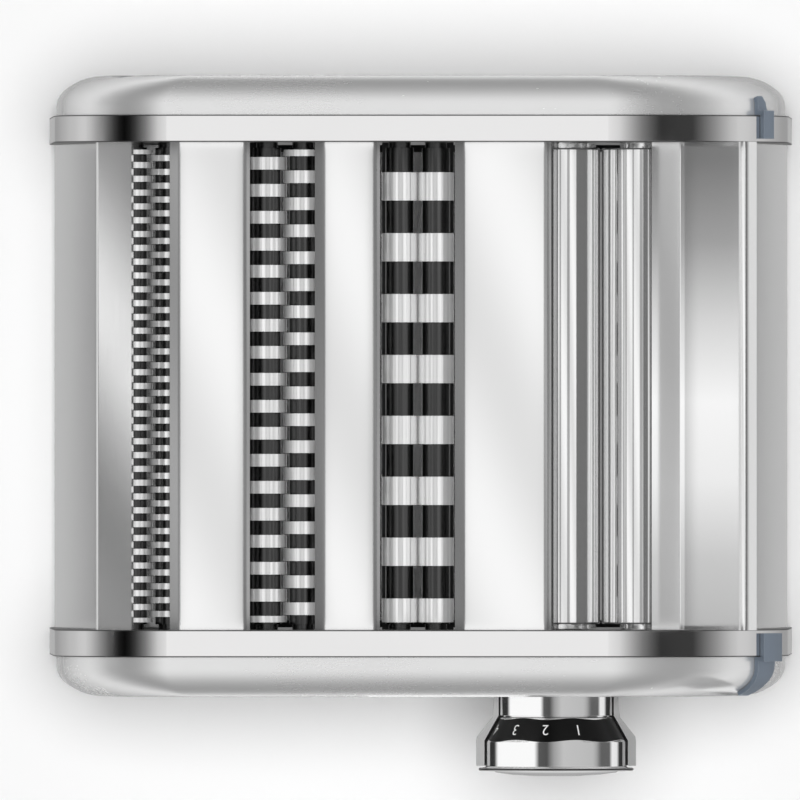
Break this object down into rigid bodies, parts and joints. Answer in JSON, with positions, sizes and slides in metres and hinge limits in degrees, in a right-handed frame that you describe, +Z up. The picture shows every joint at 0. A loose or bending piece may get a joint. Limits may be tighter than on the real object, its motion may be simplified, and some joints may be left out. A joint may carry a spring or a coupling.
{
  "type": "pasta roller machine",
  "caption": "Table-top pasta machine: smooth sheet rollers under a folded hopper, adjusting knob with numbered dial, built-in fine, medium and wide ribbon cutters between side plates.",
  "frame": {"origin": "middle of the table plane under the rubber feet, halfway between the side plates and halfway along them", "axes": "+X from the cutters towards the smooth rollers and the hopper, +Y towards the crank sockets (the knob is at -Y), +Z up"},
  "size_m": [0.2392, 0.2235, 0.1459],
  "materials": {
    "polished_steel": "mirror polished",
    "satin_cover": "satin chrome",
    "fastener_steel": "plain",
    "plate_steel": "polished sheet",
    "foot_rubber": "matt",
    "roller_chrome": "fine ground and chromed",
    "gear_steel": "machined",
    "cutter_steel": "turned",
    "bearing_plastic": "moulded",
    "comb_plastic": "moulded, black",
    "bush_brass": "turned",
    "knob_chrome": "polished",
    "dial_black": "gloss black with plain white numerals",
    "satin_zinc": "satin grey",
    "clip_zinc": "zinc plated"
  },
  "bodies": {
    "frame": {"side_plate_knob_side": "polished_steel", "side_plate_crank_side": "polished_steel", "cover_knob_side": "satin_cover", "cover_crank_side": "satin_cover", "cover_screws_knob_side": "fastener_steel", "cover_screws_crank_side": "fastener_steel", "tie_rod_1": "fastener_steel", "tie_rod_2": "fastener_steel", "tie_rod_3": "fastener_steel", "tie_rod_4": "fastener_steel", "rod_nuts": "fastener_steel", "base_crossbar": "plate_steel", "foot_knob_side": "foot_rubber", "foot_crank_side": "foot_rubber", "left_end_plate": "plate_steel", "deck_plate_1": "plate_steel", "deck_plate_2": "plate_steel", "hopper_front_plate": "plate_steel", "hopper_rear_plate": "plate_steel", "right_end_plate": "plate_steel", "roller_bush_knob_side": "bearing_plastic", "roller_bush_crank_side": "bearing_plastic", "roller_fixed_scraper": "plate_steel", "eccentric_bush_knob_side": "bush_brass", "eccentric_bush_crank_side": "bush_brass", "fine_combs": "comb_plastic", "medium_combs": "comb_plastic", "wide_combs": "comb_plastic", "cutter_bearings_knob_side": "bearing_plastic", "cutter_bearings_crank_side": "bearing_plastic", "dial_collar": "knob_chrome", "dial_shroud": "satin_zinc", "index_pin": "fastener_steel", "cover_clip_knob_side": "clip_zinc", "cover_clip_crank_side": "clip_zinc"},
    "fixed_roller": {"roller_fixed": "roller_chrome", "roller_fixed_gear": "gear_steel"},
    "eccentric": {"eccentric_shaft": "gear_steel", "knob_screw": "fastener_steel", "knob_spring": "fastener_steel"},
    "knob": {"number_ring": "dial_black", "knob_body": "knob_chrome", "knob_cap": "knob_chrome"},
    "scraper": {"roller_adjustable_scraper": "plate_steel"},
    "adjustable_roller": {"roller_adjustable": "roller_chrome", "roller_adjustable_gear": "gear_steel", "roller_adjustable_bushes": "bearing_plastic"},
    "fine_drive": {"fine_roll_drive": "cutter_steel", "fine_gear_drive": "gear_steel"},
    "fine_driven": {"fine_roll_driven": "cutter_steel", "fine_gear_driven": "gear_steel"},
    "medium_drive": {"medium_roll_drive": "cutter_steel", "medium_gear_drive": "gear_steel"},
    "medium_driven": {"medium_roll_driven": "cutter_steel", "medium_gear_driven": "gear_steel"},
    "wide_drive": {"wide_roll_drive": "cutter_steel", "wide_gear_drive": "gear_steel"},
    "wide_driven": {"wide_roll_driven": "cutter_steel", "wide_gear_driven": "gear_steel"}
  },
  "joints": [
    {"name": "fixed_roller_spin", "type": "hinge", "parent": "frame", "child": "fixed_roller", "pos_m": [0.07035, 0, 0.108], "axis": [0, 1, 0], "continuous": true},
    {"name": "knob_turn", "type": "hinge", "parent": "frame", "child": "eccentric", "pos_m": [0.04315, 0, 0.108], "axis": [0, 1, 0], "range_deg": [0, 180]},
    {"name": "knob_pull", "type": "slide", "parent": "eccentric", "child": "knob", "axis": [0, -1, 0], "range_m": [0, 0.004], "stiffness_N_per_m": 900, "springref_m": -0.004, "deforming": ["knob_spring"]},
    {"name": "scraper_follow", "type": "hinge", "parent": "eccentric", "child": "scraper", "pos_m": [0.04455, 0, 0.108], "axis": [0, 1, 0], "range_deg": [-180, 0]},
    {"name": "adjustable_roller_spin", "type": "hinge", "parent": "scraper", "child": "adjustable_roller", "pos_m": [0.04455, 0, 0.108], "axis": [0, 1, 0], "continuous": true},
    {"name": "fine_cutter_spin", "type": "hinge", "parent": "frame", "child": "fine_drive", "pos_m": [-0.0918, 0, 0.122], "axis": [0, 1, 0], "continuous": true},
    {"name": "fine_driven_spin", "type": "hinge", "parent": "frame", "child": "fine_driven", "pos_m": [-0.0802, 0, 0.122], "axis": [0, 1, 0], "continuous": true},
    {"name": "medium_cutter_spin", "type": "hinge", "parent": "frame", "child": "medium_drive", "pos_m": [-0.0491, 0, 0.122], "axis": [0, 1, 0], "continuous": true},
    {"name": "medium_driven_spin", "type": "hinge", "parent": "frame", "child": "medium_driven", "pos_m": [-0.0375, 0, 0.122], "axis": [0, 1, 0], "continuous": true},
    {"name": "wide_cutter_spin", "type": "hinge", "parent": "frame", "child": "wide_drive", "pos_m": [-0.0068, 0, 0.122], "axis": [0, 1, 0], "continuous": true},
    {"name": "wide_driven_spin", "type": "hinge", "parent": "frame", "child": "wide_driven", "pos_m": [0.0048, 0, 0.122], "axis": [0, 1, 0], "continuous": true}
  ],
  "couplings": [
    {"joint": "scraper_follow", "follows": "knob_turn", "ratio": -1},
    {"joint": "adjustable_roller_spin", "follows": "fixed_roller_spin", "ratio": -1},
    {"joint": "fine_driven_spin", "follows": "fine_cutter_spin", "ratio": -1},
    {"joint": "medium_driven_spin", "follows": "medium_cutter_spin", "ratio": -1},
    {"joint": "wide_driven_spin", "follows": "wide_cutter_spin", "ratio": -1}
  ]
}
